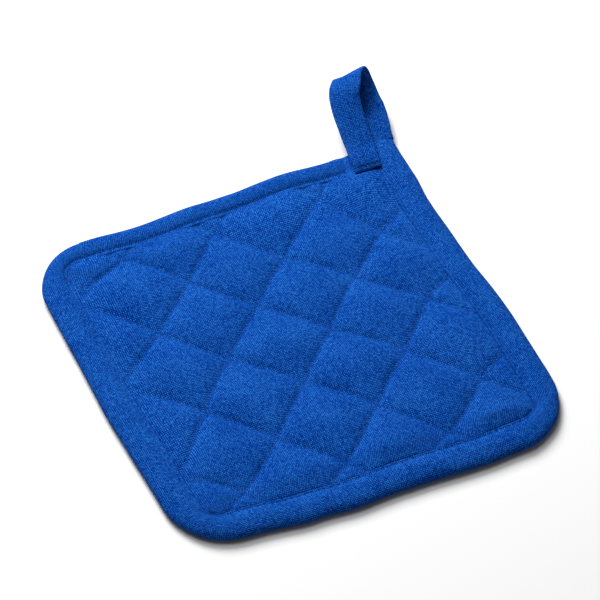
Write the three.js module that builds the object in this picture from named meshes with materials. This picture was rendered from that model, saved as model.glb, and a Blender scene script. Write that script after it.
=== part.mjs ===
// Quilted cotton pot holder: a filled square pad, a cotton tape bound round its edge,
// and the tape's free end turned over into a hanging loop at one corner.
// Millimetres, +Z up. It lies on the plane z = 0, with the middle of its square at the origin.
// The loop grows from the corner at +X, +Y.

import * as THREE from "three";

// Finished square
const side = 200;
const cornerRadius = 29; // the three rounded corners, over the tape
const seamCornerRadius = 9; // the same corners at the tape's sewn edge
const loopCornerRadius = 7; // the corner that the loop grows from

// Bound edge
const tapeWidth = 14; // showing on each face
const tapeThickness = 1.1;
const rimThickness = 6.6;
const flatFrom = 3.5; // the underside of the tape lies flat between these insets
const flatTo = 12;

// Quilting: rows of stitches run both ways across the square, corner to corner
const padCells = 33; // grid cells between the sewn edges
const cellsPerTile = 10; // measured along either side of the square
const risingShift = 37; // places the rows that run from lower left to upper right
const fallingShift = -27; // places the rows that run from upper left to lower right
const crownTop = 7.5; // top of a puffed diamond
const channelTop = 4.3; // top face along a row of stitches
const channelBottom = 1.3; // underside along a row of stitches
const crownFullness = 0.55; // lower is fuller
const undersideFlattening = 2.2; // how soon the underside reaches the table
const edgeSlope = 13; // the pad falls to the sewn edge over this width

// Hanging loop
const loopThickness = 2.0;
const loopEdgeRounding = 0.9;
const loopEdgeThickness = 0.9;
const stepsPerStretch = 3; // between two places of its path

// Where the tape closes up past the last corner and becomes the loop
const closingStart = 97.5;
const closingEnd = 101.2;
const closedHalfThickness = 1.3;
const closedHalfGap = 0.2;
const closedRise = 1.2;

const half = side / 2;
const midPlane = rimThickness / 2;
const seamHalf = half - tapeWidth;

// The pad's rings under the tape, from its cut edge inwards: how far in from the outline
// and how thick the filling is pressed there
const rimRings = [
  { inset: 2.0, halfThickness: 0.8 },
  { inset: 5.0, halfThickness: 1.8 },
  { inset: 9.5, halfThickness: 1.75 },
  { inset: tapeWidth, halfThickness: 1.1 },
];

// The tape's cross-section from its sewn lip to the fold, above the middle plane
const tapeSection = [
  { outerInset: 13.6, outerHeight: 2.45, innerInset: 13.6, innerHeight: 1.55 },
  { outerInset: 10.0, outerHeight: 3.2, innerInset: 10.0, innerHeight: 2.1 },
  { outerInset: 6.0, outerHeight: 3.3, innerInset: 6.0, innerHeight: 2.2 },
  { outerInset: 3.0, outerHeight: 3.0, innerInset: 3.0, innerHeight: 1.95 },
  { outerInset: 0.8, outerHeight: 1.8, innerInset: 1.5, innerHeight: 1.0 },
  { outerInset: 0.0, outerHeight: 0.0, innerInset: tapeThickness, innerHeight: 0.0 },
];

// How far each side bows out (or in, below zero) from a straight line
const backDrift = [
  { at: -65, out: -1.2 },
  { at: -42, out: -2.4 },
  { at: -10, out: -0.2 },
  { at: 10, out: 0.0 },
  { at: 38, out: 2.4 },
  { at: 62, out: 1.0 },
];
const leftDrift = [
  { at: -88, out: -1.6 },
  { at: -60, out: -0.4 },
  { at: -8, out: 0.7 },
  { at: 40, out: -0.4 },
  { at: 70, out: -1.2 },
  { at: 88, out: -2.4 },
];
const frontDrift = [
  { at: -74, out: -4.2 },
  { at: -38, out: -0.6 },
  { at: -18, out: 0.6 },
  { at: 5, out: -0.1 },
  { at: 52, out: 1.3 },
  { at: 70, out: 0.4 },
  { at: 88, out: -1.0 },
];
const rightDrift = [
  { at: -88, out: -2.2 },
  { at: -60, out: -0.2 },
  { at: -22, out: 1.1 },
  { at: 20, out: -0.8 },
  { at: 57, out: -1.1 },
  { at: 75, out: 0.6 },
  { at: 100, out: 1.2 },
];

// How far each hand-guided row of stitches strays sideways, at four places along it
const stitchPlaces = [-90, -30, 30, 90];
const risingRows = [
  { row: 1, stray: [-1.4, -1.3, -1.6, -1.6] },
  { row: 2, stray: [0.5, 0.2, 1.0, 5.0] },
  { row: 3, stray: [4.5, -1.0, 1.2, 5.5] },
  { row: 4, stray: [-0.2, -0.2, 1.0, 3.6] },
  { row: 5, stray: [-2.5, -0.8, 0.5, 1.2] },
  { row: 6, stray: [1.0, 1.0, 3.0, 3.0] },
];
const fallingRows = [
  { row: -2, stray: [-1.0, -1.2, -4.0, -4.0] },
  { row: -1, stray: [2.5, 1.3, -2.0, -6.0] },
  { row: 0, stray: [4.2, 0.8, -0.8, -5.3] },
  { row: 1, stray: [5.2, -0.4, -1.5, -4.4] },
  { row: 2, stray: [-2.0, -2.8, -2.8, -5.0] },
  { row: 3, stray: [-1.0, -1.5, -6.5, -9.0] },
];
const strayFade = 12; // the straying dies away over this width beside the tape

// The middle line of the loop: out of the closed tape, up, over, and down to its sewn foot.
// width is across the tape there, and tilt is how far its +X edge is turned up, in degrees.
const loopPath = [
  { x: 94.6, y: 103.4, z: 4.5, width: 14.6, tilt: 0 },
  { x: 95.0, y: 106.9, z: 5.3, width: 15.0, tilt: 0 },
  { x: 97.0, y: 115.1, z: 6.8, width: 15.3, tilt: 0 },
  { x: 99.0, y: 123.7, z: 7.2, width: 15.4, tilt: 1 },
  { x: 99.5, y: 131.5, z: 8.6, width: 15.4, tilt: 3 },
  { x: 98.8, y: 137.4, z: 12.1, width: 15.4, tilt: 6 },
  { x: 96.6, y: 139.1, z: 16.2, width: 15.4, tilt: 10 },
  { x: 93.6, y: 137.4, z: 18.7, width: 15.4, tilt: 12 },
  { x: 90.0, y: 133.2, z: 18.9, width: 15.4, tilt: 14 },
  { x: 87.0, y: 128.9, z: 17.6, width: 15.4, tilt: 12 },
  { x: 85.5, y: 125.3, z: 16.2, width: 15.4, tilt: 7 },
  { x: 84.4, y: 119.5, z: 13.9, width: 15.4, tilt: 3 },
  { x: 83.5, y: 112.1, z: 11.6, width: 15.4, tilt: 0 },
  { x: 82.7, y: 104.9, z: 9.4, width: 15.2, tilt: 0 },
  { x: 82.0, y: 99.3, z: 8.3, width: 14.8, tilt: 0 },
  { x: 81.0, y: 94.6, z: 8.1, width: 14.4, tilt: 0 },
  { x: 80.3, y: 90.6, z: 7.95, width: 14.4, tilt: 0 },
  { x: 79.6, y: 88.0, z: 7.4, width: 14.4, tilt: 0 },
];

function cottonMaterial(colour, roughness) {
  return new THREE.MeshStandardMaterial({ color: colour, roughness, metalness: 0 });
}

function smoothStep(t) {
  const u = Math.min(1, Math.max(0, t));
  return u * u * (3 - 2 * u);
}

function mix(a, b, t) {
  return a + (b - a) * t;
}

function driftAt(rows, at) {
  const last = rows[rows.length - 1];
  if (at <= rows[0].at) return rows[0].out;
  if (at >= last.at) return last.out;
  const next = rows.findIndex((row) => row.at > at);
  const from = rows[next - 1];
  const to = rows[next];
  return mix(from.out, to.out, smoothStep((at - from.at) / (to.at - from.at)));
}

// Moves a point of the even square to where the softly uneven, finished one has it
function settle(x, y) {
  const across = THREE.MathUtils.clamp((x + half) / side, 0, 1);
  const along = THREE.MathUtils.clamp((y + half) / side, 0, 1);
  return {
    x: x + mix(-driftAt(leftDrift, y), driftAt(rightDrift, y), across),
    y: y + mix(-driftAt(frontDrift, x), driftAt(backDrift, x), along),
  };
}

// Sideways stray of the stitching at a place between rows and along them
function strayAt(rows, row, along) {
  const first = rows[0].row;
  const position = THREE.MathUtils.clamp(row - first, 0, rows.length - 1);
  const lower = Math.min(Math.floor(position), rows.length - 2);
  const place = THREE.MathUtils.clamp(along, stitchPlaces[0], stitchPlaces[stitchPlaces.length - 1]);
  const segment = Math.min(stitchPlaces.findLastIndex((at) => at <= place), stitchPlaces.length - 2);
  const length = stitchPlaces[segment + 1] - stitchPlaces[segment];
  const t = smoothStep((place - stitchPlaces[segment]) / length);
  const strayOf = (entry) => mix(entry.stray[segment], entry.stray[segment + 1], t);
  return mix(strayOf(rows[lower]), strayOf(rows[lower + 1]), position - lower);
}

// Radius of a corner on the ring at an inset from the outline
function ringRadius(outlineRadius, inset) {
  const shrink = (cornerRadius - seamCornerRadius) / tapeWidth;
  return Math.max(0, outlineRadius - inset * shrink);
}

// Rounds the corners of the square ring that a grid point lies on
function roundCorner(x, y) {
  const reach = Math.max(Math.abs(x), Math.abs(y));
  const radius = ringRadius(x > 0 && y > 0 ? loopCornerRadius : cornerRadius, half - reach);
  const centre = reach - radius;
  const dx = Math.abs(x) - centre;
  const dy = Math.abs(y) - centre;
  if (radius === 0 || dx <= 0 || dy <= 0) return { x, y };
  const length = Math.hypot(dx, dy);
  return {
    x: Math.sign(x) * (centre + (dx / length) * radius),
    y: Math.sign(y) * (centre + (dy / length) * radius),
  };
}

const ringSteps = rimRings.length - 1;
const gridLines = padCells + 2 * ringSteps;
const cellSize = (2 * seamHalf) / padCells;

// The even position of a grid line: evenly spaced inside the seam, on the rings under the tape
function gridPosition(index) {
  if (index < ringSteps) return -half + rimRings[index].inset;
  if (index > gridLines - ringSteps) return half - rimRings[gridLines - index].inset;
  return -seamHalf + (index - ringSteps) * cellSize;
}

// Half thickness of the pad where the tape presses it, thinnest where two edges meet
function pressedHalf(column, line) {
  const ringOf = (index) => Math.min(index, gridLines - index, ringSteps);
  return Math.min(rimRings[ringOf(column)].halfThickness, rimRings[ringOf(line)].halfThickness);
}

function puff(turns) {
  return Math.abs(Math.sin(Math.PI * turns));
}

function padPoint(column, line) {
  const ringReach = Math.max(Math.abs(gridPosition(column)), Math.abs(gridPosition(line)));
  const even = roundCorner(gridPosition(column), gridPosition(line));
  const across = column - ringSteps;
  const along = line - ringSteps;
  const rising = (across - along + risingShift) / cellsPerTile;
  const falling = (across + along + fallingShift) / cellsPerTile;
  const inset = seamHalf - ringReach;
  const fade = smoothStep((inset - cellSize) / strayFade);
  const risingStray = strayAt(risingRows, rising, (even.x + even.y) / Math.SQRT2);
  const fallingStray = strayAt(fallingRows, falling, (even.x - even.y) / Math.SQRT2);
  const placed = settle(
    even.x + (fade * (risingStray + fallingStray)) / Math.SQRT2,
    even.y + (fade * (fallingStray - risingStray)) / Math.SQRT2,
  );
  if (inset <= 0) {
    const thick = pressedHalf(column, line);
    return { ...placed, top: midPlane + thick, bottom: midPlane - thick };
  }
  const seam = rimRings[ringSteps].halfThickness;
  const crown = Math.pow(puff(rising) * puff(falling), crownFullness);
  const lift = smoothStep(inset / edgeSlope);
  const flattened = channelBottom * Math.max(0, 1 - undersideFlattening * crown);
  return {
    ...placed,
    top: mix(midPlane + seam, mix(channelTop, crownTop, crown), lift),
    bottom: mix(midPlane - seam, flattened, lift),
  };
}

function volumeOf(positions, triangles) {
  let total = 0;
  for (const [a, b, c] of triangles) {
    total += positions[a].dot(new THREE.Vector3().crossVectors(positions[b], positions[c]));
  }
  return total / 6;
}

function closedGeometry(positions, triangles) {
  const outward = volumeOf(positions, triangles) > 0;
  const order = outward ? triangles : triangles.map(([a, b, c]) => [a, c, b]);
  const geometry = new THREE.BufferGeometry();
  const coordinates = positions.flatMap((point) => point.toArray());
  geometry.setAttribute("position", new THREE.Float32BufferAttribute(coordinates, 3));
  geometry.setIndex(order.flat());
  geometry.computeVertexNormals();
  return geometry;
}

// The pad: two quilted faces over one grid, joined round the cut edge.
// Cells are split along the diagonal that the rows of stitches follow.
function padGeometry() {
  const count = gridLines + 1;
  const topPoints = [];
  const bottomPoints = [];
  for (let line = 0; line < count; line += 1) {
    for (let column = 0; column < count; column += 1) {
      const point = padPoint(column, line);
      topPoints.push(new THREE.Vector3(point.x, point.y, point.top));
      bottomPoints.push(new THREE.Vector3(point.x, point.y, point.bottom));
    }
  }
  const under = topPoints.length;
  const at = (column, line) => line * count + column;
  const triangles = [];
  const addFace = (a, b, c) => {
    triangles.push([a, b, c]);
    triangles.push([a + under, c + under, b + under]);
  };
  for (let line = 0; line < gridLines; line += 1) {
    for (let column = 0; column < gridLines; column += 1) {
      const a = at(column, line);
      const b = at(column + 1, line);
      const c = at(column + 1, line + 1);
      const d = at(column, line + 1);
      if ((column + line) % 2 === 1) {
        addFace(a, b, c);
        addFace(a, c, d);
      } else {
        addFace(a, b, d);
        addFace(b, c, d);
      }
    }
  }
  const border = [];
  for (let k = 0; k < gridLines; k += 1) border.push(at(k, 0));
  for (let k = 0; k < gridLines; k += 1) border.push(at(gridLines, k));
  for (let k = gridLines; k > 0; k -= 1) border.push(at(k, gridLines));
  for (let k = gridLines; k > 0; k -= 1) border.push(at(0, k));
  border.forEach((from, k) => {
    const to = border[(k + 1) % border.length];
    triangles.push([from, from + under, to + under]);
    triangles.push([from, to + under, to]);
  });
  return closedGeometry([...topPoints, ...bottomPoints], triangles);
}

// A strip of cloth swept along its length. Each station has the same number of points
// on its outer and its inner face, and both ends are closed.
function stripGeometry(stations) {
  const across = stations[0].outer.length;
  const ringSize = 2 * across;
  const positions = [];
  for (const station of stations) {
    positions.push(...station.outer, ...[...station.inner].reverse());
  }
  const triangles = [];
  for (let s = 0; s + 1 < stations.length; s += 1) {
    for (let k = 0; k < ringSize; k += 1) {
      const next = (k + 1) % ringSize;
      const a = s * ringSize + k;
      const b = s * ringSize + next;
      triangles.push([a, b, b + ringSize]);
      triangles.push([a, b + ringSize, a + ringSize]);
    }
  }
  const addEnd = (start, flip) => {
    for (let k = 0; k + 1 < across; k += 1) {
      const a = start + k;
      const b = start + k + 1;
      const c = start + ringSize - 2 - k;
      const d = start + ringSize - 1 - k;
      triangles.push(flip ? [a, c, b] : [a, b, c]);
      triangles.push(flip ? [a, d, c] : [a, c, d]);
    }
  };
  addEnd(0, true);
  addEnd((stations.length - 1) * ringSize, false);
  return closedGeometry(positions, triangles);
}

// One cross-section of the tape. evenPoint gives the place on the even square of a point
// that lies an inset from the outline. closing runs from 0, wrapped round the pad, to 1,
// the tape's two halves shut together.
function tapeStation(evenPoint, closing) {
  const middle = midPlane + closing * closedRise;
  const outerScale = mix(1, closedHalfThickness / midPlane, closing);
  const place = (inset, height) => {
    const even = evenPoint(inset);
    const placed = settle(even.x, even.y);
    return new THREE.Vector3(placed.x, placed.y, middle + height);
  };
  const innerHeightOf = (row) => mix(row.innerHeight, Math.min(row.innerHeight, closedHalfGap), closing);
  const isFlatUnder = (row) => row.outerInset > flatFrom && row.outerInset < flatTo;
  const flatUnderside = (row) => (isFlatUnder(row) ? midPlane : row.outerHeight);
  const foldIndex = tapeSection.length - 1;
  const upper = tapeSection.slice(0, foldIndex);
  const fold = tapeSection[foldIndex];
  const lower = [...upper].reverse();
  return {
    outer: [
      ...upper.map((row) => place(row.outerInset, row.outerHeight * outerScale)),
      place(fold.outerInset, 0),
      ...lower.map((row) => place(row.outerInset, -flatUnderside(row) * outerScale)),
    ],
    inner: [
      ...upper.map((row) => place(row.innerInset, innerHeightOf(row))),
      place(fold.innerInset, 0),
      ...lower.map((row) => place(row.innerInset, -innerHeightOf(row))),
    ],
  };
}

// The binding starts on the back edge beside the loop's corner, goes round the three
// rounded corners and ends past the fourth, where it closes up into the loop.
function bindingGeometry() {
  const sideSteps = 14;
  const cornerSteps = 7;
  const closingSteps = 4;
  const straight = half - cornerRadius;
  const stations = [];
  const addStraight = (from, to, inward, steps) => {
    for (let k = 0; k <= steps; k += 1) {
      const x = mix(from.x, to.x, k / steps);
      const y = mix(from.y, to.y, k / steps);
      stations.push(tapeStation((inset) => ({ x: x + inward.x * inset, y: y + inward.y * inset }), 0));
    }
  };
  const addCorner = (signX, signY, startAngle) => {
    for (let k = 1; k < cornerSteps; k += 1) {
      const angle = startAngle + (k / cornerSteps) * (Math.PI / 2);
      const evenPoint = (inset) => {
        const radius = ringRadius(cornerRadius, inset);
        const centre = half - inset - radius;
        return {
          x: signX * centre + radius * Math.cos(angle),
          y: signY * centre + radius * Math.sin(angle),
        };
      };
      stations.push(tapeStation(evenPoint, 0));
    }
  };
  addStraight({ x: seamHalf, y: half }, { x: -straight, y: half }, { x: 0, y: -1 }, sideSteps);
  addCorner(-1, 1, Math.PI / 2);
  addStraight({ x: -half, y: straight }, { x: -half, y: -straight }, { x: 1, y: 0 }, sideSteps);
  addCorner(-1, -1, Math.PI);
  addStraight({ x: -straight, y: -half }, { x: straight, y: -half }, { x: 0, y: 1 }, sideSteps);
  addCorner(1, -1, 1.5 * Math.PI);
  addStraight({ x: half, y: -straight }, { x: half, y: closingStart }, { x: -1, y: 0 }, sideSteps + 1);
  for (let k = 1; k <= closingSteps; k += 1) {
    const y = mix(closingStart, closingEnd, k / closingSteps);
    stations.push(tapeStation((inset) => ({ x: half - inset, y }), smoothStep(k / closingSteps)));
  }
  return stripGeometry(stations);
}

// The loop: the closed tape, with soft edges, carried along its path
function loopGeometry() {
  const places = loopPath.map((row) => new THREE.Vector3(row.x, row.y, row.z));
  const path = new THREE.CatmullRomCurve3(places, false, "centripetal");
  const stretches = loopPath.length - 1;
  const stations = [];
  for (let k = 0; k <= stretches * stepsPerStretch; k += 1) {
    const lower = Math.min(Math.floor(k / stepsPerStretch), stretches - 1);
    const part = k / stepsPerStretch - lower;
    const width = mix(loopPath[lower].width, loopPath[lower + 1].width, part);
    const tilt = THREE.MathUtils.degToRad(mix(loopPath[lower].tilt, loopPath[lower + 1].tilt, part));
    const centre = path.getPoint(k / (stretches * stepsPerStretch));
    const tangent = path.getTangent(k / (stretches * stepsPerStretch));
    const across = new THREE.Vector3(Math.cos(tilt), 0, Math.sin(tilt));
    across.addScaledVector(tangent, -across.dot(tangent)).normalize();
    const faceNormal = new THREE.Vector3().crossVectors(across, tangent);
    const profile = [
      { offset: -width / 2, thickness: loopEdgeThickness },
      { offset: -width / 2 + loopEdgeRounding, thickness: loopThickness },
      { offset: 0, thickness: loopThickness },
      { offset: width / 2 - loopEdgeRounding, thickness: loopThickness },
      { offset: width / 2, thickness: loopEdgeThickness },
    ];
    const facePoint = (row, facing) =>
      centre
        .clone()
        .addScaledVector(across, row.offset)
        .addScaledVector(faceNormal, (facing * row.thickness) / 2);
    stations.push({
      outer: profile.map((row) => facePoint(row, 1)),
      inner: profile.map((row) => facePoint(row, -1)),
    });
  }
  return stripGeometry(stations);
}

const blueCotton = "#124ea6";
const blueTape = "#114a9f";

const quiltedPad = new THREE.Mesh(padGeometry(), cottonMaterial(blueCotton, 0.92));
quiltedPad.name = "quilted_pad";

const binding = new THREE.Mesh(bindingGeometry(), cottonMaterial(blueTape, 0.92));
binding.name = "edge_binding";

const hangingLoop = new THREE.Mesh(loopGeometry(), cottonMaterial(blueTape, 0.92));
hangingLoop.name = "hanging_loop";

const potHolder = new THREE.Group();
potHolder.add(quiltedPad, binding, hangingLoop);

export default potHolder;
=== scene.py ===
import math

import bpy
import numpy as np
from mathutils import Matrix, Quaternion, Vector, noise


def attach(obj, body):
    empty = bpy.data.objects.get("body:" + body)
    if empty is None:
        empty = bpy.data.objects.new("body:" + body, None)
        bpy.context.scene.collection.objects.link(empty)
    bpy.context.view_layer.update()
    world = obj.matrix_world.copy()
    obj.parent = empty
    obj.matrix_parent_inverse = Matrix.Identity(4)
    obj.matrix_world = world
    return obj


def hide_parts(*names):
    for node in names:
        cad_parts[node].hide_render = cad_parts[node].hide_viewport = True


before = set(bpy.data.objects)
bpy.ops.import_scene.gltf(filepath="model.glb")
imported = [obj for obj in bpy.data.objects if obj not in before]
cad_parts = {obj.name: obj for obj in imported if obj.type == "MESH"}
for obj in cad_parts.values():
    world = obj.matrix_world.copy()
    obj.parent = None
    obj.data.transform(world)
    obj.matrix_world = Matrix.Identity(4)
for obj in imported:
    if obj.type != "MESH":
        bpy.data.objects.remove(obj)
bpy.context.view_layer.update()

mm = 0.001  # a piece is in millimetres until its mesh is made; camera and lights are in metres
tiny = 1e-6

# it lies on z = 0 about the origin, and the loop grows from the corner at +X, +Y
holder = {
    "side": 200.0,
    "cornerRadius": 29.0,  # the three plain corners, over the tape
    "seamCornerRadius": 9.0,  # the same corners along the tape's stitching
    "loopCornerRadius": 7.0,
    "tapeWidth": 14.0,  # from the folded edge to the stitching
    "backNarrowing": 3.1,  # how much narrower the tape shows along the back
    "leftNarrowing": 0.9,  # the share of it at the back's left end
    "narrowingStart": -71.0,  # from here to the right it grows to the whole
    "narrowingReach": 30.0,
    "middle": 3.3,  # height of the pad's middle plane
}
half = holder["side"] / 2
seamHalf = half - holder["tapeWidth"]
middle = holder["middle"]

# how far each side bows out from a straight line: (place along it, bow)
backDrift = [(-65, -1.2), (-42, -2.4), (-10, -0.2), (10, 0.0), (38, 2.4), (62, 1.0), (75, 2.1)]
leftDrift = [(-88, -1.6), (-60, -0.4), (-8, 0.7), (40, -0.4), (70, -1.2), (88, -2.4)]
frontDrift = [(-74, -4.2), (-38, -0.6), (-18, 0.6), (5, -0.1), (52, 1.3), (70, 0.4), (88, -1.0)]
rightDrift = [(-88, -2.2), (-60, -0.2), (-22, 1.1), (20, -0.8), (57, -1.1), (75, 0.6), (100, 1.2)]

# which noise each unevenness is taken from
seeds = {
    "crowns": 1.5,
    "tapeEdge": 2.5,
    "warpShades": 3.3,
    "loopCreases": 4.5,
    "puckers": 6.5,
    "tapeHeight": 7.5,
    "weftShades": 8.7,
}


def smoothStep(t):
    u = np.clip(t, 0.0, 1.0)
    return u * u * (3 - 2 * u)


def mix(a, b, t):
    return a + (b - a) * t


def driftAt(drift, at):
    places = np.array([row[0] for row in drift], float)
    bows = np.array([row[1] for row in drift], float)
    k = np.clip(np.searchsorted(places, at, side="right") - 1, 0, len(places) - 2)
    t = smoothStep((at - places[k]) / (places[k + 1] - places[k]))
    return mix(bows[k], bows[k + 1], t)


# moves a point of the even square to where the softly uneven one has it
def settle(x, y):
    across = np.clip((x + half) / holder["side"], 0, 1)
    along = np.clip((y + half) / holder["side"], 0, 1)
    movedX = x + mix(-driftAt(leftDrift, y), driftAt(rightDrift, y), across)
    movedY = y + mix(-driftAt(frontDrift, x), driftAt(backDrift, x), along)
    return movedX, movedY


# radius of a corner on the ring at an inset from the outline
def ringRadius(outlineRadius, inset):
    shrink = (holder["cornerRadius"] - holder["seamCornerRadius"]) / holder["tapeWidth"]
    return np.maximum(0.0, outlineRadius - inset * shrink)


def backNarrowing(x):
    grown = smoothStep((x - holder["narrowingStart"]) / holder["narrowingReach"])
    return holder["backNarrowing"] * mix(holder["leftNarrowing"], 1.0, grown)


# for even steps along a curve through rows: the place in rows, the share of its span that
# lies behind it, and the four rows about it
def curveSpans(rows, steps):
    ends = np.vstack([2 * rows[0] - rows[1], rows, 2 * rows[-1] - rows[-2]])
    places = np.linspace(0, len(rows) - 1, steps)
    k = np.minimum(places.astype(int), len(rows) - 2)
    return places, (places - k)[:, None], ends[k], ends[k + 1], ends[k + 2], ends[k + 3]


# a curve through listed rows, evenly stepped in rows
def smoothThrough(rows, steps):
    _, t, a, b, c, d = curveSpans(np.array(rows, float), steps)
    bend = 2 * a - 5 * b + 4 * c - d
    twist = 3 * b - a - 3 * c + d
    return 0.5 * (2 * b + (c - a) * t + bend * t**2 + twist * t**3)


def distancesAlong(points):
    steps = np.linalg.norm(np.diff(points, axis=0), axis=1)
    return np.concatenate([[0], np.cumsum(steps)])


# a line's points, or anything else it has three of, at places measured along it
def valuesAt(places, distances, line):
    return np.stack([np.interp(places, distances, line[:, axis]) for axis in range(3)], -1)


def softNoise(x, y, size, seed):
    return noise.noise(Vector((x / size, y / size, seed)))


def spreadNoise(x, y, size, seed):
    values = [softNoise(*place, size, seed) for place in zip(np.ravel(x), np.ravel(y))]
    return np.reshape(values, np.shape(x))


def addObject(name, data):
    made = bpy.data.objects.new(name, data)
    bpy.context.scene.collection.objects.link(made)
    return made


def meshObject(name, points, faces):
    mesh = bpy.data.meshes.new(name)
    mesh.from_pydata((np.asarray(points) * mm).tolist(), [], faces)
    mesh.update()
    return addObject(name, mesh)


# the numbers of a grid's points, and the four that go round each of its cells
def gridCells(rows, columns):
    index = np.arange(rows * columns).reshape(rows, columns)
    corners = (index[:-1, :-1], index[:-1, 1:], index[1:, 1:], index[1:, :-1])
    return index, np.stack([corner.ravel() for corner in corners], -1)


# gives a piece its cloth's own coordinates, one pair for each point
def layCloth(piece, cloth):
    clothMap = piece.data.uv_layers.new(name="cloth")
    corners = np.empty(len(piece.data.loops), int)
    piece.data.loops.foreach_get("vertex_index", corners)
    clothMap.data.foreach_set("uv", cloth[corners].ravel())


def pick(piece):
    bpy.ops.object.select_all(action="DESELECT")
    piece.select_set(True)
    bpy.context.view_layer.objects.active = piece


def applyModifiers(piece):
    pick(piece)
    for modifier in list(piece.modifiers):
        bpy.ops.object.modifier_apply(modifier=modifier.name)


def pointsOf(piece):
    points = np.empty(len(piece.data.vertices) * 3)
    piece.data.vertices.foreach_get("co", points)
    return points.reshape(-1, 3) / mm


def setPoints(piece, points):
    piece.data.vertices.foreach_set("co", (np.asarray(points) * mm).ravel())
    piece.data.update()


def newMaterial(name):
    material = bpy.data.materials.new(name)
    material.use_nodes = True
    return material, material.node_tree.nodes["Principled BSDF"]


def setInputs(node, values):
    for socket, value in values.items():
        node.inputs[socket].default_value = value


shot = {
    "target": (0.01407, 0.02683, 0.0),
    "azimuth": -28.43,
    "elevation": 47.25,
    "roll": 3.80,
    "distance": 1.713,
    "lens": 216.0,
    "sensor": 36.0,
    "nearest": 0.05,
    "furthest": 20.0,
}


def addCamera():
    turn = math.radians(shot["azimuth"])
    rise = math.radians(shot["elevation"])
    back = Vector((math.sin(turn) * math.cos(rise), -math.cos(turn) * math.cos(rise), math.sin(rise)))
    data = bpy.data.cameras.new("camera")
    data.lens = shot["lens"]
    data.sensor_width = shot["sensor"]
    data.clip_start = shot["nearest"]
    data.clip_end = shot["furthest"]
    camera = addObject("camera", data)
    camera.location = Vector(shot["target"]) + back * shot["distance"]
    camera.rotation_mode = "QUATERNION"
    level = (-back).to_track_quat("-Z", "Y")
    camera.rotation_quaternion = level @ Quaternion((0, 0, 1), math.radians(shot["roll"]))
    bpy.context.scene.camera = camera


studio = {
    "keyFrom": (-0.04, 1.12, 1.02),  # a large softbox behind the back edge
    "keySize": 0.72,
    "keyPower": 40.8,
    "fillFrom": (-0.2, 0.25, 1.0),
    "fillSize": 0.7,
    "fillPower": 6.1,
    "roomLight": 0.12,
    "floorSize": 5.0,
    "floorShade": 0.66,
    "floorRoughness": 0.9,
    "floorSpecular": 0.1,
}


def addSoftbox(name, place, size, power):
    data = bpy.data.lights.new(name, "AREA")
    data.shape = "SQUARE"
    data.size = size
    data.energy = power
    light = addObject(name, data)
    light.location = place
    light.rotation_mode = "QUATERNION"
    light.rotation_quaternion = (-Vector(place)).to_track_quat("-Z", "Y")


def addFloor():
    bpy.ops.object.select_all(action="DESELECT")
    bpy.ops.mesh.primitive_plane_add(size=studio["floorSize"], location=(0, 0, 0))
    floor = bpy.context.object
    floor.name = "floor"
    paint, shader = newMaterial("floor paint")
    shade = studio["floorShade"]
    setInputs(shader, {
        "Base Color": (shade, shade, shade, 1),
        "Roughness": studio["floorRoughness"],
        "Specular IOR Level": studio["floorSpecular"],
    })
    floor.data.materials.append(paint)


def addStudio():
    addSoftbox("key", studio["keyFrom"], studio["keySize"], studio["keyPower"])
    addSoftbox("fill", studio["fillFrom"], studio["fillSize"], studio["fillPower"])
    world = bpy.data.worlds.new("room")
    world.use_nodes = True
    background = world.node_tree.nodes["Background"]
    setInputs(background, {"Color": (1, 1, 1, 1), "Strength": studio["roomLight"]})
    bpy.context.scene.world = world
    bpy.context.scene.view_settings.view_transform = "Standard"
    addFloor()


addCamera()
addStudio()
print("camera and studio ready")

quilt = {
    "padCells": 33,  # grid cells between the stitched edges
    "cellsPerTile": 10,  # measured along either side
    "risingShift": 37,  # places the rows from lower left to upper right
    "fallingShift": -27,  # places the rows from upper left to lower right
    "fineness": 3,  # grid cells here for one of those
    "crownTop": 7.5,
    "channelTop": 4.3,
    "channelBottom": 1.3,
    "crownFullness": 0.55,  # lower fills the tiles out more
    "undersideFlattening": 2.2,  # higher brings more of the underside down to the table
    "edgeSlope": 13.0,  # the pad rises from the tape to its full height over this
    "edgeHeight": 1.25,  # over the middle plane, just inside the tape's lip
    "edgeCrown": 1.0,  # what a tile's crown adds to it there
    "creviceStart": 0.9,  # from the tape's edge, where the pad starts to rise beside it
    "creviceWidth": 2.2,
    "backCrevice": -0.9,  # so much is added to its start along the back
    "frontSteepness": 0.5,
    "frontDepth": 0.7,  # how much deeper the pad lies under the front tape's edge
    "frontReach": 2.0,  # it gets there over this, under the tape
    "cornerBlend": 16.0,  # one side's shape passes into the next over this
    "strayFade": 20.0,  # beside a seam the rows stop straying into it over this
    "unevenness": 0.35,  # of the crowns' height
    "unevenSize": 24.0,
    "unevenDrop": 0.4,  # so that more crowns are low than high
    "pucker": 0.22,
    "puckerSize": 5.0,
    "holeDepth": 0.25,
    "grooveDepth": 0.65,
    "grooveWidth": 1.0,
    "grooveFade": 2.0,  # a row's groove deepens over this from the tape
}
stitchPlaces = np.array([-90.0, -30.0, 30.0, 90.0])
# sideways stray of each hand-guided row at those four places
risingRows = {
    1: (-1.4, -1.3, -1.6, -1.6),
    2: (0.5, 0.2, 1.0, 5.0),
    3: (4.5, -1.0, 1.2, 5.5),
    4: (-0.2, -0.2, 1.0, 3.6),
    5: (-2.5, -0.8, 0.5, 1.2),
    6: (1.0, 1.0, 3.0, 3.0),
}
fallingRows = {
    -2: (-1.0, -1.2, -4.0, -4.0),
    -1: (2.5, 1.3, -2.0, -6.0),
    0: (4.2, 0.8, -0.8, -5.3),
    1: (5.2, -0.4, -1.5, -4.4),
    2: (-2.0, -2.8, -2.8, -5.0),
    3: (-1.0, -1.5, -6.5, -9.0),
}
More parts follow.
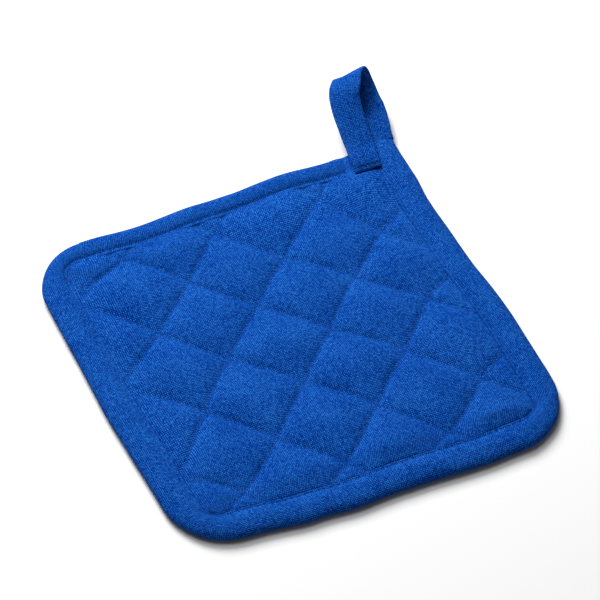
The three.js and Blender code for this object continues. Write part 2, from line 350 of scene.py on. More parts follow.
# the pad's rings under the tape, from its cut edge inwards: (inset, half thickness)
rimRings = [(2.0, 0.8), (5.0, 1.7), (9.5, 1.4), (11.75, 1.2), (14.0, 1.0)]
rimInsets, rimHalves = np.transpose(rimRings)


def strayAt(rows, row, along):
    table = np.array([rows[key] for key in sorted(rows)])
    position = np.clip(row - min(rows), 0, len(rows) - 1)
    lower = np.minimum(position.astype(int), len(rows) - 2)
    place = np.clip(along, stitchPlaces[0], stitchPlaces[-1])
    k = np.clip(np.searchsorted(stitchPlaces, place, side="right") - 1, 0, len(stitchPlaces) - 2)
    t = smoothStep((place - stitchPlaces[k]) / (stitchPlaces[k + 1] - stitchPlaces[k]))
    first = mix(table[lower, k], table[lower, k + 1], t)
    second = mix(table[lower + 1, k], table[lower + 1, k + 1], t)
    return mix(first, second, position - lower)


def roundCorner(x, y):
    reach = np.maximum(abs(x), abs(y))
    outline = np.where((x > 0) & (y > 0), holder["loopCornerRadius"], holder["cornerRadius"])
    radius = ringRadius(outline, half - reach)
    centre = reach - radius
    dx = abs(x) - centre
    dy = abs(y) - centre
    turned = (radius > 0) & (dx > 0) & (dy > 0)
    length = np.where(turned, np.hypot(dx, dy), 1.0)
    roundX = np.where(turned, np.sign(x) * (centre + dx / length * radius), x)
    roundY = np.where(turned, np.sign(y) * (centre + dy / length * radius), y)
    return roundX, roundY


# the even square's grid, and each point's place among the rows that run either way
def quiltGrid():
    rings = len(rimRings) - 1
    cells = quilt["padCells"] * quilt["fineness"]
    inner = np.linspace(-seamHalf, seamHalf, cells + 1)
    places = np.concatenate([-half + rimInsets[:rings], inner, (half - rimInsets[:rings])[::-1]])
    evenX, evenY = np.meshgrid(places, places)
    index = np.arange(len(places)) - rings
    column, row = np.meshgrid(index / quilt["fineness"], index / quilt["fineness"])
    rising = (column - row + quilt["risingShift"]) / quilt["cellsPerTile"]
    falling = (column + row + quilt["fallingShift"]) / quilt["cellsPerTile"]
    return evenX, evenY, rising, falling


# where the grid's points lie once the corners are round, the rows stray and the sides bow
def padPlan(evenX, evenY, rising, falling):
    roundX, roundY = roundCorner(evenX, evenY)
    # beside a seam a row strays only along it, so that it runs straight into the tape
    besideX = 1 - smoothStep((seamHalf - abs(evenX)) / quilt["strayFade"])
    besideY = 1 - smoothStep((seamHalf - abs(evenY)) / quilt["strayFade"])
    risingStray = strayAt(risingRows, rising, (roundX + roundY) / math.sqrt(2))
    fallingStray = strayAt(fallingRows, falling, (roundX - roundY) / math.sqrt(2))
    strayX = (1 - besideX) * (1 + besideY) * (fallingStray + risingStray) / math.sqrt(2)
    strayY = (1 - besideY) * (1 + besideX) * (fallingStray - risingStray) / math.sqrt(2)
    return settle(roundX + strayX, roundY + strayY)


# how far a point belongs to the side it lies towards: 1 beside it, 0 beside its neighbours
def sideShare(towards, across):
    return smoothStep((towards - abs(across)) / quilt["cornerBlend"] + 0.5)


# heights of the pad's two faces, how far in from the tape each point is, and which are held
def padHeights(x, y, evenX, evenY, rising, falling):
    reach = np.maximum(abs(evenX), abs(evenY))
    inset = seamHalf - reach
    pressed = np.interp(half - reach, rimInsets, rimHalves)
    back = sideShare(evenY, evenX)
    front = sideShare(-evenY, evenX)
    bare = inset + backNarrowing(evenX) * back
    lift = smoothStep(bare / quilt["edgeSlope"])

    crown = abs(np.sin(math.pi * rising) * np.sin(math.pi * falling)) ** quilt["crownFullness"]
    wave = spreadNoise(x, y, quilt["unevenSize"], seeds["crowns"])
    crownTop = quilt["crownTop"] + quilt["unevenness"] * (wave - quilt["unevenDrop"])
    full = mix(quilt["channelTop"], crownTop, crown)
    pucker = spreadNoise(x, y, quilt["puckerSize"], seeds["puckers"]) * (1 - crown) * quilt["pucker"]

    tileSide = 2 * seamHalf / quilt["padCells"] * quilt["cellsPerTile"] / math.sqrt(2)
    fromRow = tileSide * np.minimum(abs(rising - np.round(rising)), abs(falling - np.round(falling)))
    sewn = (fromRow < tiny * tileSide) & (bare > 0)
    groove = np.exp(-((fromRow / quilt["grooveWidth"]) ** 2)) * smoothStep(bare / quilt["grooveFade"])

    # the crevice between the tape's lip and the pad, which is steeper and deeper in front
    crevice = quilt["creviceStart"] + quilt["backCrevice"] * back
    rise = smoothStep((bare - crevice) / (quilt["creviceWidth"] * (1 - quilt["frontSteepness"] * front)))
    sunk = pressed - quilt["frontDepth"] * front * smoothStep(1 + inset / quilt["frontReach"])
    edge = mix(sunk, quilt["edgeHeight"] + quilt["edgeCrown"] * crown, rise)

    top = mix(middle + edge, full, lift) + pucker * rise
    top -= quilt["grooveDepth"] * groove + quilt["holeDepth"] * sewn
    flattened = quilt["channelBottom"] * np.maximum(0, 1 - quilt["undersideFlattening"] * crown)
    bottom = mix(middle - pressed, flattened, lift)
    return top, bottom, bare, sewn | (inset <= 0)


def buildPad():
    evenX, evenY, rising, falling = quiltGrid()
    x, y = padPlan(evenX, evenY, rising, falling)
    top, bottom, bare, held = padHeights(x, y, evenX, evenY, rising, falling)
    upper = np.stack([x, y, top], -1).reshape(-1, 3)
    lower = np.stack([x, y, bottom], -1).reshape(-1, 3)
    under = len(upper)
    index, cells = gridCells(*evenX.shape)
    faces = cells.tolist() + (cells[:, [0, 3, 2, 1]] + under).tolist()
    border = np.concatenate([index[0, :-1], index[:-1, -1], index[-1, :0:-1], index[:0:-1, 0]])
    ahead = np.roll(border, -1)
    faces += np.stack([border, border + under, ahead + under, ahead], -1).tolist()
    pad = meshObject("quiltedPad", np.vstack([upper, lower]), faces)
    cloth = np.stack([evenX, evenY], -1).reshape(-1, 2) / holder["side"] + 0.5
    layCloth(pad, np.tile(cloth, (2, 1)))
    heldPoints = np.flatnonzero(np.tile(held.ravel(), 2))
    pad.vertex_groups.new(name="sewn").add(heldPoints.tolist(), 1.0, "REPLACE")
    rows = {"rising": rising.ravel(), "falling": falling.ravel(), "bare": bare.ravel(), "under": under}
    return pad, rows


swelling = {
    "quality": 6,
    "mass": 0.02,
    "stretchStiffness": 12,
    "shearStiffness": 6,
    "bendingStiffness": 0.4,
    "shrinking": -0.02,  # below 0, so the cloth is cut a little too large
    "pressure": 40.0,
    "frames": 20,
    "keptShare": 0.25,
    "furthest": 0.45,  # that a point may be moved, in millimetres
}


def swellPad(pad):
    start = pointsOf(pad)
    pick(pad)
    bpy.ops.object.modifier_add(type="CLOTH")
    cloth = pad.modifiers[-1]
    cloth.settings.quality = swelling["quality"]
    cloth.settings.mass = swelling["mass"]
    cloth.settings.tension_stiffness = swelling["stretchStiffness"]
    cloth.settings.compression_stiffness = swelling["stretchStiffness"]
    cloth.settings.shear_stiffness = swelling["shearStiffness"]
    cloth.settings.bending_stiffness = swelling["bendingStiffness"]
    cloth.settings.shrink_min = swelling["shrinking"]
    cloth.settings.use_pressure = True
    cloth.settings.uniform_pressure_force = swelling["pressure"]
    cloth.settings.vertex_group_mass = "sewn"
    cloth.settings.effector_weights.gravity = 0
    cloth.point_cache.frame_start = 1
    cloth.point_cache.frame_end = swelling["frames"]
    for step in range(1, swelling["frames"] + 1):
        bpy.context.scene.frame_set(step)
    applyModifiers(pad)
    bpy.context.scene.frame_set(1)
    moved = pointsOf(pad) - start
    length = np.linalg.norm(moved, axis=1, keepdims=True)
    print("pad swelled, furthest move", round(float(length.max()), 3), "mm")
    kept = np.minimum(swelling["keptShare"], swelling["furthest"] / np.maximum(length, tiny))
    swelled = start + moved * kept
    swelled[:, 2] = np.maximum(swelled[:, 2], 0)
    setPoints(pad, swelled)


pad, quiltRows = buildPad()
print("pad laid out", len(pad.data.polygons), "faces")
swellPad(pad)
pick(pad)
bpy.ops.object.modifier_add(type="SUBSURF")
pad.modifiers[-1].levels = 1
pad.modifiers[-1].render_levels = 1
applyModifiers(pad)
pad.vertex_groups.clear()

tape = {
    "thickness": 0.42,
    "stationStep": 1.0,
    "loopSteps": 6,  # stations of the loop for each row of its path
    "stitchInset": 13.8,
    "stitchLength": 3.0,
    "grooveDepth": 0.5,
    "grooveWidth": 0.7,
    "frontGroove": 2.2,  # times that depth along the front
    "backGroove": 0.1,
    "narrowingInset": 5.0,  # the back's narrowing grows from here inwards
    "narrowingWidth": 9.0,
    "lipBottom": 1.15,  # the lip is what lies higher and further in than this
    "lipBlend": 0.3,
    "lipInset": 12.0,
    "lipWidth": 1.5,
    "backLip": 0.5,  # how much lower it lies along the back
    "backFlattening": 0.17,
    "flatInset": 3.0,
    "flatWidth": 5.0,
    "flatEnd": 2.0,
    "backFullness": 0.5,
    "fullnessFade": 20.0,
    "tightStitches": [192.5, 196.5],  # two that pull deeper, at the corner at -X, +Y
    "tightPull": 2.2,
    "tightReach": 0.9,
    "closingStart": 95.5,  # up the right edge, where the tape leaves the pad and closes up
    "closingEnd": 101.2,
    "closedRise": 1.2,  # over the pad's middle plane
    "undersideFlattening": 1.12,
    "unevenHeight": 0.07,
    "unevenHeightSize": 10.0,
    "unevenAcross": 2.0,  # times finer across the tape than along it
    "unevenEdge": 0.25,
    "unevenEdgeSize": 16.0,
    "edgeFade": 16.0,  # what moves the folded edge is gone at this inset
    "pinchPlace": 72.0,  # where the back run is drawn in beside the loop's foot
    "pinchReach": 2.9,
    "pinchDepth": 0.78,
    "pinchPull": 0.4,
    "creaseHeight": 0.25,
    "creaseSize": 7.0,
    "arcPlace": 26.0,  # a curved crease across the loop, before its fold
    "arcHeight": 0.45,
    "arcWidth": 1.5,
    "arcBow": 0.05,
    "crestPlace": 43.0,  # the top of the loop's fold, which is cupped
    "crestCup": 1.1,
    "crestWidth": 6.0,
    "endRounding": 2.4,  # the sewn-down end is rounded off over this
    "endStart": 0.05,
    "footSeam": 2.3,  # from that end to the row that sews it down
    "footSeamDepth": 0.35,  # share of the tape's height that the row presses in
    "footSeamWidth": 0.6,
    "footSkew": 0.17,  # the foot's end runs along the back edge, not square to the loop
    "footSkewReach": 14.0,
}
# upper half of the tape's section from the turned-in hem round its lip to the folded edge:
# (inset, height wrapped round the pad, height shut together in the loop)
tapeSection = [
    (11.0, 1.40, 0.10),
    (12.5, 1.25, 0.10),
    (14.2, 1.05, 0.10),
    (14.95, 1.10, 0.22),
    (15.25, 1.42, 0.55),
    (15.0, 1.72, 0.88),
    (14.5, 1.84, 1.00),
    (13.8, 1.82, 1.02),
    (13.1, 2.12, 1.05),
    (12.0, 2.60, 1.08),
    (10.3, 3.10, 1.10),
    (8.0, 3.34, 1.10),
    (5.8, 3.18, 1.08),
    (3.6, 2.80, 1.02),
    (1.9, 2.22, 0.94),
    (0.75, 1.46, 0.76),
    (0.18, 0.72, 0.44),
    (0.0, 0.0, 0.0),
]
tapeReach = max(inset for inset, _, _ in tapeSection)
sectionSteps = 26
hemSteps = 5  # of them, before the section turns round its lip
# the loop's middle line: (x, y, z, width, how far its +X edge is turned up in degrees)
loopPath = [
    (94.6, 103.4, 4.5, 14.6, 0),
    (95.0, 106.9, 5.3, 15.0, 0),
    (97.0, 115.1, 6.8, 15.3, 0),
    (99.0, 123.7, 7.2, 15.4, 1),
    (99.5, 131.5, 8.6, 15.4, 3),
    (99.1, 137.4, 12.1, 15.4, 6),
    (97.3, 139.1, 16.2, 15.8, 10),
    (93.0, 137.4, 18.7, 15.4, 14),
    (89.3, 133.2, 18.9, 15.4, 17),
    (86.6, 128.9, 17.6, 15.4, 14),
    (85.5, 125.3, 16.2, 15.4, 7),
    (84.4, 119.5, 13.9, 15.4, 3),
    (83.5, 112.1, 11.6, 15.4, 0),
    (82.7, 104.9, 9.4, 15.2, 0),
    (82.0, 99.3, 8.3, 14.8, 0),
    (81.0, 94.6, 8.0, 14.4, 0),
    (80.4, 90.6, 7.3, 14.4, 0),
    (79.8, 86.6, 5.8, 14.4, 0),
]


# the loop's rows on one curve, its bends eased by the distance between them
def loopCurve(steps):
    rows = np.array(loopPath, float)
    places, t, a, b, c, d = curveSpans(rows[:, :3], steps)
    spans = ((a, b), (b, c), (c, d))
    before, here, after = (np.linalg.norm(q - p, axis=1, keepdims=True) ** 0.5 for p, q in spans)
    leaving = ((b - a) / before - (c - a) / (before + here) + (c - b) / here) * here
    arriving = ((c - b) / here - (d - b) / (here + after) + (d - c) / after) * here
    bend = 3 * (c - b) - 2 * leaving - arriving
    twist = 2 * (b - c) + leaving + arriving
    curve = b + leaving * t + bend * t**2 + twist * t**3
    others = [np.interp(places, np.arange(len(rows)), rows[:, column]) for column in (3, 4)]
    return np.column_stack([curve, *others])


# places round the square where the tape's section is set: the side's name with x, y and the
# way inwards, or "corner" with the signs of its x and y and the angle
def edgeStations():
    straight = half - holder["cornerRadius"]
    stations = []

    def addSide(side, start, end, inward):
        steps = round(math.dist(start, end) / tape["stationStep"])
        for k in range(steps + 1):
            t = k / steps
            stations.append((side, mix(start[0], end[0], t), mix(start[1], end[1], t), inward))

    def addCorner(signX, signY, startAngle):
        steps = round(holder["cornerRadius"] * math.pi / 2 / tape["stationStep"])
        for k in range(1, steps):
            stations.append(("corner", signX, signY, startAngle + k / steps * math.pi / 2))

    addSide("back", (seamHalf, half), (-straight, half), (0, -1))
    addCorner(-1, 1, math.pi / 2)
    addSide("left", (-half, straight), (-half, -straight), (1, 0))
    addCorner(-1, -1, math.pi)
    addSide("front", (-straight, -half), (straight, -half), (0, 1))
    addCorner(1, -1, 1.5 * math.pi)
    addSide("right", (half, -straight), (half, tape["closingEnd"]), (-1, 0))
    return stations


# a station's place on the even square, at an inset from the folded edge
def evenPlace(station, inset):
    side, x, y, facing = station
    radius = ringRadius(holder["cornerRadius"], inset)
    centre = half - inset - radius
    if side == "corner":
        return x * centre + radius * math.cos(facing), y * centre + radius * math.sin(facing)
    toLoopCorner = (side == "back" and x > 0) or (side == "right" and y > 0)
    stretch = 1.0 if toLoopCorner else centre / (half - holder["cornerRadius"])
    if side in ("left", "right"):
        return x + facing[0] * inset, y * stretch
    return x * stretch, y + facing[1] * inset


def sectionPoints():
    upper = smoothThrough(tapeSection, sectionSteps)
    lower = upper[-2::-1] * (1, -1, -1)
    return np.vstack([upper, lower])


# how far a station belongs to the back run, which passes over in the corner at -X, +Y
def backShare(station):
    side, _, signY, angle = station
    if side == "corner" and signY > 0:
        return float(smoothStep(math.sin(angle)))
    return 1.0 if side == "back" else 0.0


# the section's place over the square at one station
def wrappedPlan(station, inset, back, pinch, along):
    edge = 1 - inset / tape["edgeFade"]
    wave = softNoise(along, 0, tape["unevenEdgeSize"], seeds["tapeEdge"])
    placed = inset + tape["unevenEdge"] * wave * edge
    if back > 0:
        narrowed = back * backNarrowing(evenPlace(station, holder["tapeWidth"])[0])
        placed = placed - narrowed * smoothStep((inset - tape["narrowingInset"]) / tape["narrowingWidth"])
    x, y = settle(*evenPlace(station, placed))
    if station[0] == "back":
        fullness = smoothStep((seamHalf - abs(station[1])) / tape["fullnessFade"])
        y = y + tape["backFullness"] * fullness * edge
    return x, y - tape["pinchPull"] * pinch * edge


# how far the stitching draws the section in at one station
def stitchPull(station, inset, back, along):
    deepening = tape["frontGroove"] if station[0] == "front" else 1.0
    if back > 0:
        deepening = mix(1.0, tape["backGroove"], back)
    groove = np.exp(-(((inset - tape["stitchInset"]) / tape["grooveWidth"]) ** 2))
    pull = 0.5 + 0.5 * math.cos(2 * math.pi * along / tape["stitchLength"])
    for place in tape["tightStitches"]:
        pull += tape["tightPull"] * math.exp(-(((along - place) / tape["tightReach"]) ** 2))
    return tape["grooveDepth"] * deepening * groove * pull


# one station of the tape round the pad; along is its distance from the tape's start
def wrappedStation(station, section, closing, along):
    inset, wrapped, shut = section.T
    back = backShare(station)
    pinch = 0.0
    if station[0] == "back":
        pinch = math.exp(-(((station[1] - tape["pinchPlace"]) / tape["pinchReach"]) ** 2))
    x, y = wrappedPlan(station, inset, back, pinch, along)
    size = tape["unevenHeightSize"]
    across = inset * tape["unevenAcross"]
    uneven = np.array([softNoise(along, v, size, seeds["tapeHeight"]) for v in across])
    plump = (1 + tape["unevenHeight"] * uneven) * (1 - tape["pinchDepth"] * pinch)
    upright = abs(wrapped) * plump - stitchPull(station, inset, back, along)
    lip = smoothStep((abs(wrapped) - tape["lipBottom"]) / tape["lipBlend"])
    lip = lip * smoothStep((inset - tape["lipInset"]) / tape["lipWidth"])
    flat = smoothStep((inset - tape["flatInset"]) / tape["flatWidth"])
    flat = flat * smoothStep((holder["tapeWidth"] - inset) / tape["flatEnd"])
    upright = upright - tape["backLip"] * back * lip
    upright = upright * (1 - tape["backFlattening"] * back * flat)
    below = np.minimum(upright * tape["undersideFlattening"], middle)
    height = mix(np.where(wrapped > 0, upright, -below), shut, closing)
    z = middle + closing * tape["closedRise"] + height
    return np.stack([x, y, z], -1)


# one station of the loop; walked is its distance from the loop's start and left from its end
def loopStation(row, tangent, section, walked, left):
    inset, _, shut = section.T
    width, turnedUp = row[3:]
    tilt = math.radians(turnedUp)
    across = np.array([math.cos(tilt), 0, math.sin(tilt)])
    across -= tangent * across.dot(tangent)
    across /= np.linalg.norm(across)
    facing = np.cross(across, tangent)
    offset = width / 2 - inset * (width / tapeReach)
    uneven = np.array([softNoise(walked, v, tape["creaseSize"], seeds["loopCreases"]) for v in inset])
    arc = walked - tape["arcPlace"] + tape["arcBow"] * offset**2
    crest = math.exp(-(((walked - tape["crestPlace"]) / tape["crestWidth"]) ** 2))
    crease = tape["creaseHeight"] * uneven + tape["arcHeight"] * np.exp(-((arc / tape["arcWidth"]) ** 2))
    crease = crease - tape["crestCup"] * crest * (1 - (2 * offset / width) ** 2)
    fromEnd = min(1.0, (left + tape["endStart"]) / tape["endRounding"])
    rounding = math.sqrt(1 - (1 - fromEnd) ** 2)
    footSeam = math.exp(-(((left - tape["footSeam"]) / tape["footSeamWidth"]) ** 2))
    height = shut * rounding * (1 - tape["footSeamDepth"] * footSeam) + crease
    ahead = -tape["footSkew"] * offset * max(0.0, 1 - left / tape["footSkewReach"])
    return row[:3] + offset[:, None] * across + height[:, None] * facing + ahead[:, None] * tangent


# the rings round the pad, and how far along the tape each one is
def wrapPad(section):
    stations = edgeStations()
    alongs = distancesAlong(np.array([settle(*evenPlace(station, 0.0)) for station in stations]))
    span = tape["closingEnd"] - tape["closingStart"]
    rings = []
    for station, along in zip(stations, alongs):
        closing = 0.0
        if station[0] == "right":
            closing = float(smoothStep((station[2] - tape["closingStart"]) / span))
        rings.append(wrappedStation(station, section, closing, along))
    return rings, alongs


# the loop's rings, and how far each one is from the last ring round the pad
def runLoop(section):
    path = loopCurve(tape["loopSteps"] * (len(loopPath) - 1) + 1)
    tangents = np.gradient(path[:, :3], axis=0)
    tangents /= np.linalg.norm(tangents, axis=1, keepdims=True)
    walked = distancesAlong(path[:, :3])
    rings = []
    for row, tangent, at in zip(path, tangents, walked):
        rings.append(loopStation(row, tangent, section, at, walked[-1] - at))
    return rings, walked + (path[0, 1] - tape["closingEnd"])


def buildTape():
    section = sectionPoints()
    padRings, padAlongs = wrapPad(section)
    loopRings, loopAlongs = runLoop(section)
    points = np.array(padRings + loopRings)
    alongs = np.concatenate([padAlongs, padAlongs[-1] + loopAlongs])
    _, cells = gridCells(*points.shape[:2])
    strip = meshObject("bindingTape", points.reshape(-1, 3), cells.tolist())
    frontRing = points[len(padRings) * 3 // 5]  # three fifths of the way round is on the front run
    spread = distancesAlong(frontRing)
    u, v = np.meshgrid(spread, alongs)
    layCloth(strip, np.stack([u.ravel(), v.ravel()], -1) / holder["side"])
    pick(strip)
    bpy.ops.object.modifier_add(type="SOLIDIFY")
    strip.modifiers[-1].thickness = tape["thickness"] * mm
    strip.modifiers[-1].offset = -1
    strip.modifiers[-1].use_even_offset = False
    applyModifiers(strip)
    return strip, points, alongs, spread[-1]


bindingTape, tapeRings, tapeAlongs, tapeFlatWidth = buildTape()
tapeFlatSize = [round(float(length), 1) for length in (tapeFlatWidth, tapeAlongs[-1])]
print("tape wrapped", len(bindingTape.data.polygons), "faces, flat size", *tapeFlatSize)

thread = {
    "thickness": 0.36,
    "dip": 0.35,  # into a hole
    "rise": 0.06,  # over the cloth between two holes
    "landing": 0.25,  # share of a stitch over which it comes up out of its hole
    "fewestHoles": 3,
    "nearestTape": 0.5,  # that a hole of the quilting comes to the tape's edge
    "tapeEnd": 2.0,  # left unsewn at the tape's end
    "footRing": -6,  # the tape's ring that its end is sewn down along
    "footStitch": 2.4,
    "footMargin": 1.0,
    "twistScale": 2500.0,
    # dark and light are both darker than the cloth: the thread's own navy with painted shade for the
    # grooves it lies in; the noise between them is the thread's twist
    "dark": (0.0005, 0.020, 0.150, 1),
    "light": (0.003, 0.058, 0.300, 1),
    "roughness": 0.8,
    "specular": 0.15,
}


# thread that shows between holes: dips into each hole and lies on the cloth between two
def sewRows(name, rows):
    curve = bpy.data.curves.new(name, "CURVE")
    curve.dimensions = "3D"
    curve.bevel_depth = thread["thickness"] / 2 * mm
    curve.bevel_resolution = 1
    curve.resolution_u = 2
    curve.use_fill_caps = True
    for holes, facing in rows:
        route = []
        for k in range(len(holes) - 1):
            here, ahead = holes[k], holes[k + 1]
            up = facing[k]
            route.append(here - up * thread["dip"])
            route.append(mix(here, ahead, thread["landing"]) + up * thread["rise"])
            route.append(mix(here, ahead, 1 - thread["landing"]) + up * thread["rise"])
        route.append(holes[-1] - facing[-1] * thread["dip"])
        spline = curve.splines.new("NURBS")
        spline.points.add(len(route) - 1)
        flat = np.hstack([np.array(route) * mm, np.ones((len(route), 1))])
        spline.points.foreach_set("co", flat.ravel())
        spline.order_u = 3
        spline.use_endpoint_u = True
    pick(addObject(name, curve))
    bpy.ops.object.convert(target="MESH")
    return bpy.context.object


def quiltStitchRows():
    points = pointsOf(pad)
    normals = np.empty(len(pad.data.vertices) * 3)
    pad.data.vertices.foreach_get("normal", normals)
    normals = normals.reshape(-1, 3)
    bare = quiltRows["bare"] > thread["nearestTape"]
    rows = []
    for way, crossing in (("rising", "falling"), ("falling", "rising")):
        value = quiltRows[way]
        for number in range(int(value.min()), int(value.max()) + 2):
            onRow = np.flatnonzero((abs(value - number) < tiny) & bare)
            if len(onRow) < thread["fewestHoles"]:
                continue
            onRow = onRow[np.argsort(quiltRows[crossing][onRow])]
            for under in (0, quiltRows["under"]):
                rows.append((points[onRow + under], normals[onRow + under]))
    return rows


def tapeStitchRows():
    section = sectionPoints()
    shown = section[hemSteps:sectionSteps, 0]
    upper = int(np.argmin(abs(shown - tape["stitchInset"]))) + hemSteps
    lower = len(section) - 1 - upper
    places = np.arange(tape["stitchLength"], tapeAlongs[-1] - thread["tapeEnd"], tape["stitchLength"])
    rows = []
    for k in (upper, lower):
        line = tapeRings[:, k]
        beside = tapeRings[:, k + 1] - tapeRings[:, k - 1]
        facing = np.cross(beside, np.gradient(line, axis=0))
        facing /= np.linalg.norm(facing, axis=1, keepdims=True)
        rows.append((valuesAt(places, tapeAlongs, line), valuesAt(places, tapeAlongs, facing)))
    foot = tapeRings[thread["footRing"], sectionSteps:-2]
    spread = distancesAlong(foot)
    places = np.arange(thread["footMargin"], spread[-1] - thread["footMargin"], thread["footStitch"])
    holes = valuesAt(places, spread, foot)
    rows.append((holes, np.tile([0.0, 0.0, 1.0], (len(holes), 1))))
    return rows


quiltStitching = sewRows("quiltStitching", quiltStitchRows())
tapeStitching = sewRows("tapeStitching", tapeStitchRows())
print("stitching sewn", len(quiltStitching.data.polygons), len(tapeStitching.data.polygons), "faces")

cotton = {
    "threadPitch": 0.87,
    "dark": (0.0000, 0.0115, 0.125, 1),
    "mid": (0.0000, 0.0405, 0.248, 1),
    "light": (0.0230, 0.145, 0.475, 1),
    "darkPlace": 0.41,
    "midPlace": 0.5,
    "lightPlace": 0.62,
    "yarnShare": 0.4,  # what the yarns, the flecks and broad patches count for in the shade
    "fleckShare": 0.6,
    "broadShare": 0.08,
    "weaveShadeShare": 0.2,  # painted shade of the weave: yarns on top lighter, the low places between them darker
    "middleHeight": 0.6,
    "overlap": 0.6,  # how much higher a yarn is where it crosses over
    "yarnStretch": 0.5,  # lower draws a yarn's shades out longer
    "yarnDetail": 3.0,
    "yarnRoughness": 0.65,
    "fleckScale": 1.5,
    "fleckDetail": 4.0,
    "fleckRoughness": 0.8,
    "broadScale": 0.045,
    "roughness": 0.95,
    "specular": 0.01,
    "sheen": 0.02,
    "sheenRoughness": 0.6,
    "sheenTint": (0.10, 0.30, 1.0, 1),
    "bump": 0.6,
    "bumpDepth": 0.22,
    "fleckBump": 0.5,
}
# how new nodes are laid out in the editor
nodeLayout = {
    "left": -1600,
    "stepRight": 60,
    "stepDown": 140,
    "rows": 9,
}


class Nodes:
    def __init__(self, material):
        self.tree = material.node_tree
        self.count = 0

    def add(self, kind, **values):
        node = self.tree.nodes.new(kind)
        self.count += 1
        right = nodeLayout["left"] + self.count * nodeLayout["stepRight"]
        node.location = (right, -(self.count % nodeLayout["rows"]) * nodeLayout["stepDown"])
        for key, value in values.items():
            setattr(node, key, value)
        return node

    def link(self, source, target):
        self.tree.links.new(source, target)

    def math(self, operation, *values):
        node = self.add("ShaderNodeMath", operation=operation)
        for socket, value in zip(node.inputs, values):
            if isinstance(value, (int, float)):
                socket.default_value = value
            else:
                self.link(value, socket)
        return node.outputs[0]

    def grain(self, vector, scale, detail=2.0, roughness=0.5):
        node = self.add("ShaderNodeTexNoise")
        setInputs(node, {"Scale": scale, "Detail": detail, "Roughness": roughness})
        self.link(vector, node.inputs["Vector"])
        return node.outputs["Fac"]

    # a colour for each place, darkest first
    def ramp(self, factor, stops):
        node = self.add("ShaderNodeValToRGB")
        elements = node.color_ramp.elements
        elements[0].position, elements[0].color = stops[0]
        elements[1].position, elements[1].color = stops[-1]
        for place, colour in stops[1:-1]:
            elements.new(place).color = colour
        self.link(factor, node.inputs["Fac"])
        return node.outputs["Color"]


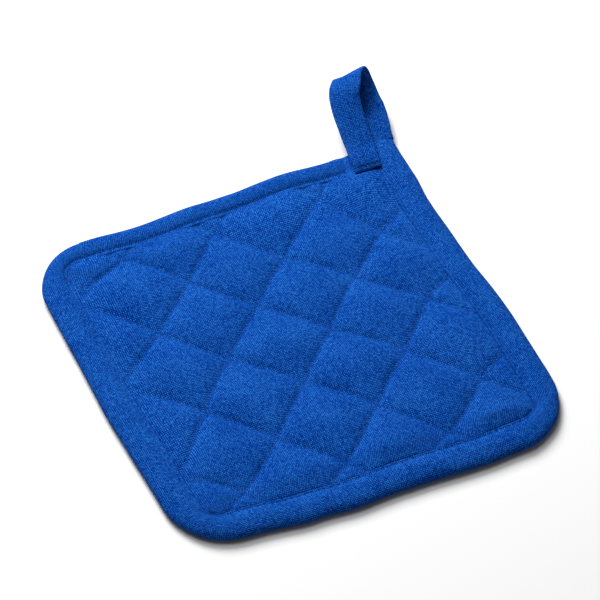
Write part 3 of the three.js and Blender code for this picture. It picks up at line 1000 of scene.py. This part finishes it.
def cottonMaterial(name):
    material, shader = newMaterial(name)
    nodes = Nodes(material)
    uv = nodes.add("ShaderNodeUVMap", uv_map="cloth")
    scale = nodes.add("ShaderNodeMapping")
    threads = holder["side"] / cotton["threadPitch"]
    scale.inputs["Scale"].default_value = (threads, threads, 1)
    nodes.link(uv.outputs["UV"], scale.inputs["Vector"])
    place = scale.outputs["Vector"]
    split = nodes.add("ShaderNodeSeparateXYZ")
    nodes.link(place, split.inputs["Vector"])
    s, t = split.outputs["X"], split.outputs["Y"]

    # plain weave: warp runs along t, weft along s, and they change places at every crossing
    waveS = nodes.math("SINE", nodes.math("MULTIPLY", s, math.pi))
    waveT = nodes.math("SINE", nodes.math("MULTIPLY", t, math.pi))
    over = nodes.math("MULTIPLY", waveS, waveT)
    warpShare = nodes.math("MULTIPLY_ADD", over, cotton["overlap"], 0.5)
    weftShare = nodes.math("SUBTRACT", 1.0, warpShare)
    warpHeight = nodes.math("MULTIPLY", nodes.math("ABSOLUTE", waveS), warpShare)
    weftHeight = nodes.math("MULTIPLY", nodes.math("ABSOLUTE", waveT), weftShare)
    height = nodes.math("MAXIMUM", warpHeight, weftHeight)
    isWarp = nodes.math("GREATER_THAN", over, 0.0)

    # each yarn has its own shade, drawn out along its length
    def yarnShade(yarn, along, seed):
        onYarn = nodes.add("ShaderNodeCombineXYZ")
        nodes.link(nodes.math("FLOOR", yarn), onYarn.inputs["X"])
        nodes.link(nodes.math("MULTIPLY", along, cotton["yarnStretch"]), onYarn.inputs["Y"])
        onYarn.inputs["Z"].default_value = seed
        return nodes.grain(onYarn.outputs["Vector"], 1.0, cotton["yarnDetail"], cotton["yarnRoughness"])

    yarnMix = nodes.add("ShaderNodeMix", data_type="FLOAT")
    nodes.link(isWarp, yarnMix.inputs["Factor"])
    nodes.link(yarnShade(t, s, seeds["weftShades"]), yarnMix.inputs[2])
    nodes.link(yarnShade(s, t, seeds["warpShades"]), yarnMix.inputs[3])
    fleck = nodes.grain(place, cotton["fleckScale"], cotton["fleckDetail"], cotton["fleckRoughness"])
    broad = nodes.math("SUBTRACT", nodes.grain(place, cotton["broadScale"]), 0.5)
    # painted shade of the weave: its low places darker and the yarns on top lighter, beside the bump that
    # gives them real relief
    paintedWeaveShade = nodes.math("SUBTRACT", height, cotton["middleHeight"])

    shade = nodes.math("MULTIPLY", yarnMix.outputs[0], cotton["yarnShare"])
    for part, share in ((fleck, "fleckShare"), (broad, "broadShare"), (paintedWeaveShade, "weaveShadeShare")):
        shade = nodes.math("ADD", shade, nodes.math("MULTIPLY", part, cotton[share]))
    stops = [(cotton[stop + "Place"], cotton[stop]) for stop in ("dark", "mid", "light")]
    nodes.link(nodes.ramp(shade, stops), shader.inputs["Base Color"])

    bump = nodes.add("ShaderNodeBump")
    setInputs(bump, {"Strength": cotton["bump"], "Distance": cotton["bumpDepth"] * mm})
    relief = nodes.math("ADD", height, nodes.math("MULTIPLY", fleck, cotton["fleckBump"]))
    nodes.link(relief, bump.inputs["Height"])
    nodes.link(bump.outputs["Normal"], shader.inputs["Normal"])
    setInputs(shader, {
        "Roughness": cotton["roughness"],
        "Specular IOR Level": cotton["specular"],
        "Sheen Weight": cotton["sheen"],
        "Sheen Roughness": cotton["sheenRoughness"],
        "Sheen Tint": cotton["sheenTint"],
    })
    return material


# the thread's twist over a colour darkened by painted shade
def shadedThreadMaterial():
    material, shader = newMaterial("sewing thread with painted shade")
    nodes = Nodes(material)
    place = nodes.add("ShaderNodeTexCoord")
    twist = nodes.grain(place.outputs["Object"], thread["twistScale"])
    stops = [(0.0, thread["dark"]), (1.0, thread["light"])]
    nodes.link(nodes.ramp(twist, stops), shader.inputs["Base Color"])
    setInputs(shader, {"Roughness": thread["roughness"], "Specular IOR Level": thread["specular"]})
    return material


quiltedCotton = cottonMaterial("quilted cotton")
tapeCotton = cottonMaterial("cotton tape")
shadedSewingThread = shadedThreadMaterial()
print("cloth and thread coloured")
for piece, material, slot in (
    (pad, quiltedCotton, "quilted_cotton"),
    (bindingTape, tapeCotton, "cotton_tape"),
    (quiltStitching, shadedSewingThread, "quilted_cotton"),
    (tapeStitching, shadedSewingThread, "cotton_tape"),
):
    piece.data.materials.clear()
    piece.data.materials.append(material)
    piece.data.polygons.foreach_set("use_smooth", [True] * len(piece.data.polygons))
    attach(piece, "root")

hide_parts("quilted_pad")
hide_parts("edge_binding", "hanging_loop")
